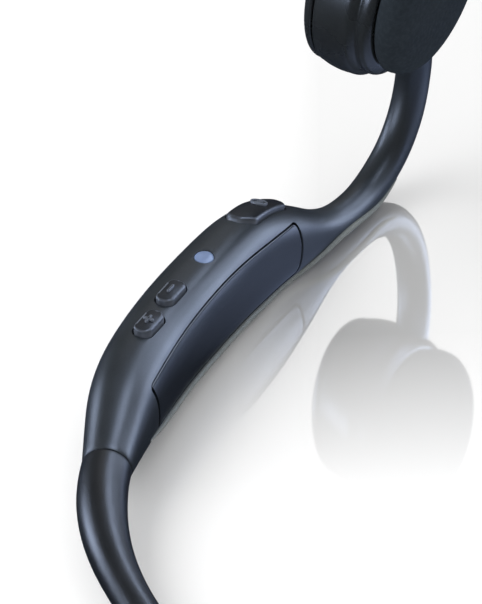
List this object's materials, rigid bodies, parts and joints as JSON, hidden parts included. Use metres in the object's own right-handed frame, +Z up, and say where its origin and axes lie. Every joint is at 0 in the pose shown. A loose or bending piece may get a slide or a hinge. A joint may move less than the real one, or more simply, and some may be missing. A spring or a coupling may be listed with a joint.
{
  "type": "bone conduction headphones",
  "caption": "Open-ear bone conduction headphones: two speaker pods on ear hooks with control modules, joined by a flexible neckband.",
  "frame": {"origin": "on the floor, under the middle of the whole (the middle of its box from above); the headphones lie upside down on a table, resting on the two hook arches and the rear of the neckband", "axes": "+Z up off the table, +X from the neckband towards the speaker pods, +Y towards the wearer's right arm (the one with the controls)"},
  "size_m": [0.126, 0.1236, 0.0545],
  "materials": {
    "satin_shell": "satin, blue-black",
    "cover_plastic": "fine satin, blue-black",
    "gloss_shell": "polished black",
    "band_silicone": "fine-grained soft-touch silicone",
    "pad_silicone": "matte soft silicone",
    "button_plastic": "satin",
    "seal_rubber": "matte",
    "window": "frosted, pale blue",
    "board": "solder mask",
    "dark_plastic": "matte",
    "steel": "brushed",
    "titanium": "drawn wire",
    "copper": "enamelled winding",
    "cell": "foil pouch",
    "cable_rubber": "matte",
    "piping_rubber": "matte grey"
  },
  "bodies": {
    "right_arm": {"right_shell": "satin_shell", "right_inner_cover": "cover_plastic", "right_cover_gasket": "seal_rubber", "right_band_plug": "dark_plastic", "right_pod_housing": "gloss_shell", "right_pod_cap": "gloss_shell", "right_contact_pad": "pad_silicone", "right_spring_plate": "steel", "right_voice_coil": "copper", "right_magnet": "steel", "right_yoke": "steel", "right_hook_wire": "titanium", "right_hook_cable": "cable_rubber", "right_edge_piping": "piping_rubber", "light_window": "window", "button_seal": "seal_rubber", "button_board": "board", "volume_down_switch": "steel", "volume_up_switch": "steel", "multi_function_switch": "steel", "light_chip": "dark_plastic", "main_board": "board", "radio_shield": "steel", "radio_chip": "dark_plastic", "microphone": "steel", "neckband_jacket": "band_silicone", "neckband_wire": "titanium", "neckband_cable": "cable_rubber"},
    "left_arm": {"left_shell": "satin_shell", "left_inner_cover": "cover_plastic", "left_cover_gasket": "seal_rubber", "left_band_plug": "dark_plastic", "left_pod_housing": "gloss_shell", "left_pod_cap": "gloss_shell", "left_contact_pad": "pad_silicone", "left_spring_plate": "steel", "left_voice_coil": "copper", "left_magnet": "steel", "left_yoke": "steel", "left_hook_wire": "titanium", "left_hook_cable": "cable_rubber", "left_edge_piping": "piping_rubber", "charging_socket": "steel", "battery": "cell", "protection_board": "board"},
    "volume_down_button": {"volume_down_button": "button_plastic"},
    "volume_up_button": {"volume_up_button": "button_plastic"},
    "multi_function_button": {"multi_function_button": "button_plastic"},
    "port_cover": {"port_cover": "band_silicone"}
  },
  "joints": [
    {"name": "band_flex", "type": "hinge", "parent": "right_arm", "child": "left_arm", "pos_m": [-0.0481, 0, 0.005], "axis": [0, 0, -1], "range_deg": [-8, 25], "stiffness_Nm_per_rad": 0.25, "deforming": ["neckband_jacket", "neckband_wire", "neckband_cable"]},
    {"name": "volume_down_press", "type": "slide", "parent": "right_arm", "child": "volume_down_button", "axis": [0, 0, -1], "range_m": [0, 0.0004], "stiffness_N_per_m": 20},
    {"name": "volume_up_press", "type": "slide", "parent": "right_arm", "child": "volume_up_button", "axis": [0, 0, -1], "range_m": [0, 0.0004], "stiffness_N_per_m": 20},
    {"name": "multi_function_press", "type": "slide", "parent": "right_arm", "child": "multi_function_button", "axis": [-0.4226, 0, -0.9063], "range_m": [0, 0.0004], "stiffness_N_per_m": 40},
    {"name": "port_cover_swing", "type": "hinge", "parent": "left_arm", "child": "port_cover", "pos_m": [0.00051, -0.056, 0.0162], "axis": [0, 1, 0], "range_deg": [0, 110]}
  ]
}
